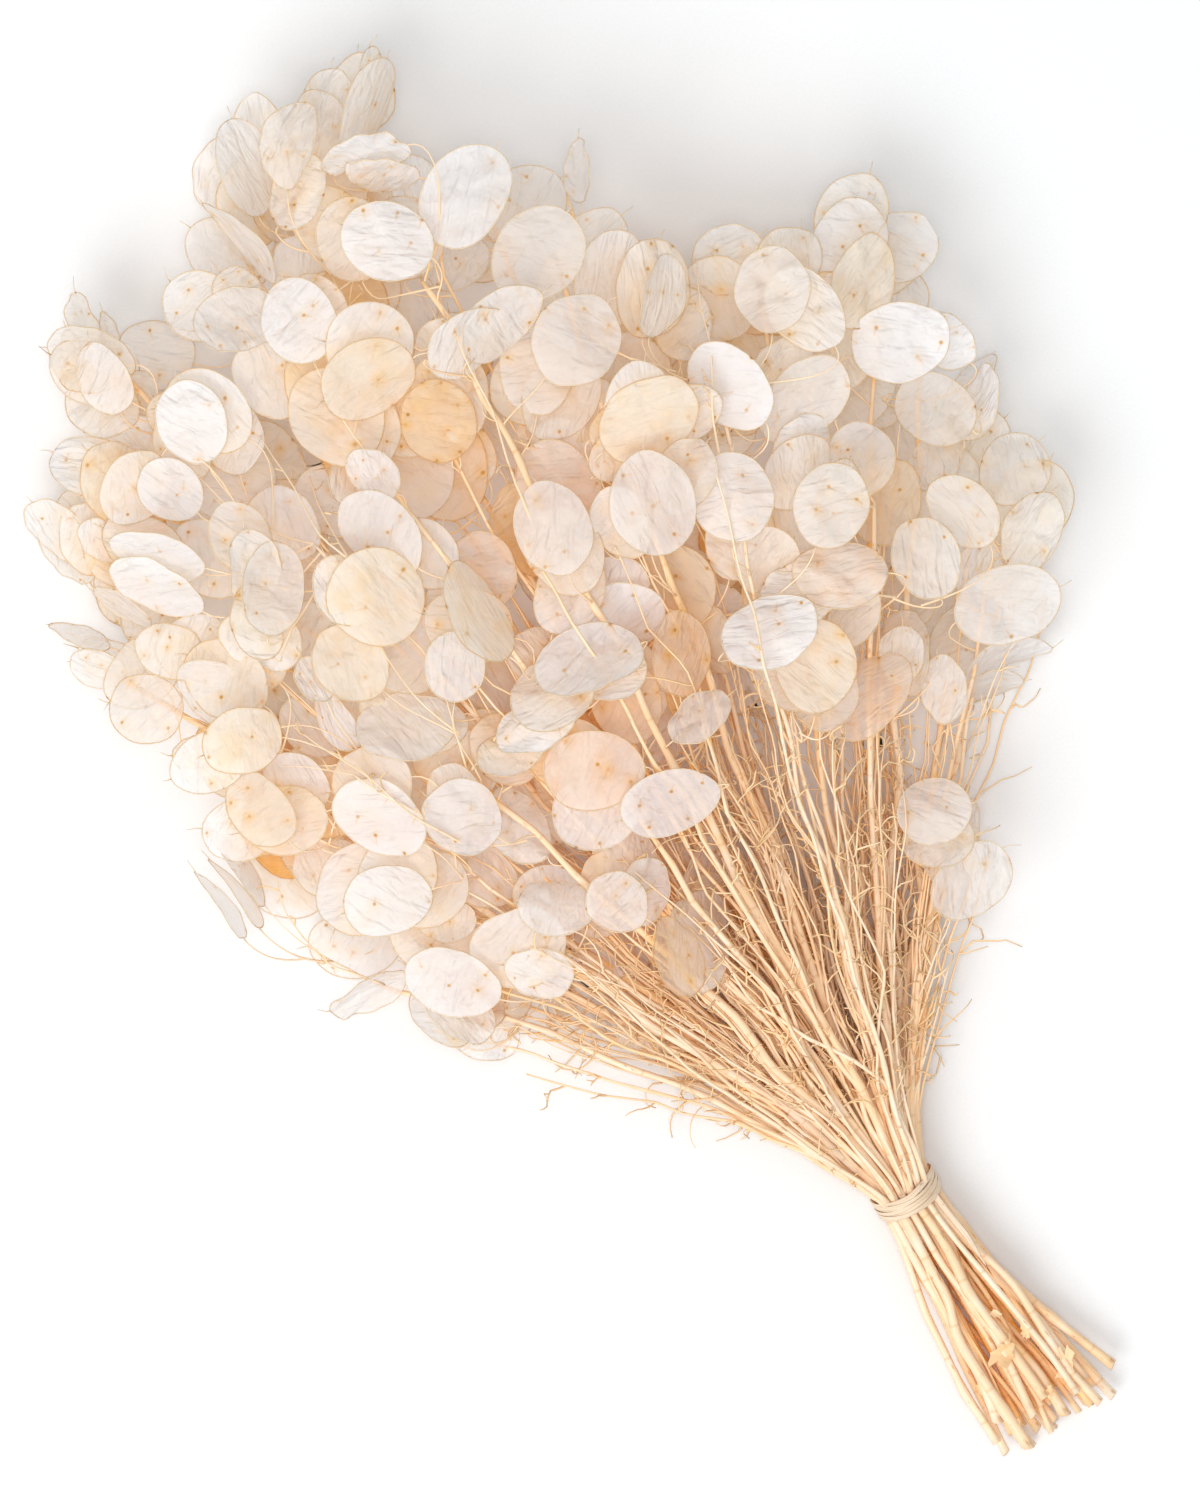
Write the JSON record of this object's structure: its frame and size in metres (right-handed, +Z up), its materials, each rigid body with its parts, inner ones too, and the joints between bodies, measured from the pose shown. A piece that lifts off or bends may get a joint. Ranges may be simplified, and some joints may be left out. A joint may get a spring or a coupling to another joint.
{
  "type": "tied bunch of honesty seed pod stems",
  "caption": "Dried honesty stems with papery oval seed pods, gathered into a fan-shaped bunch by a raffia tie and laid down flat.",
  "frame": {"origin": "middle of the bunch's footprint, on the surface it lies on", "axes": "+Y along the stems from the cut ends to the heads, +Z up, +X to the right seen from above"},
  "size_m": [0.3888, 0.6306, 0.1325],
  "materials": {
    "dried_honesty": "dry straw-coloured stems with papery translucent cream seed pods, satin",
    "papery_pod": "thin translucent papery cream, satin",
    "raffia": "matte fibrous straw"
  },
  "bodies": {
    "root": {"stem_01": "dried_honesty", "stem_02": "dried_honesty", "stem_03": "dried_honesty", "stem_04": "dried_honesty", "stem_05": "dried_honesty", "stem_06": "dried_honesty", "stem_07": "dried_honesty", "stem_08": "dried_honesty", "stem_09": "dried_honesty", "stem_10": "dried_honesty", "stem_11": "dried_honesty", "stem_12": "dried_honesty", "stem_13": "dried_honesty", "stem_14": "dried_honesty", "stem_15": "dried_honesty", "stem_16": "dried_honesty", "stem_17": "dried_honesty", "stem_18": "dried_honesty", "stem_19": "dried_honesty", "stem_20": "dried_honesty", "stem_21": "dried_honesty", "stem_22": "dried_honesty", "stem_23": "dried_honesty", "stem_24": "dried_honesty", "stem_25": "dried_honesty", "stem_26": "dried_honesty", "stem_27": "dried_honesty", "stem_28": "dried_honesty", "stem_29": "dried_honesty", "stem_30": "dried_honesty", "stem_31": "dried_honesty", "stem_32": "dried_honesty", "stem_33": "dried_honesty", "stem_34": "dried_honesty", "stem_35": "dried_honesty", "stem_36": "dried_honesty", "stem_37": "dried_honesty", "raffia_tie": "raffia"}
  },
  "joints": []
}
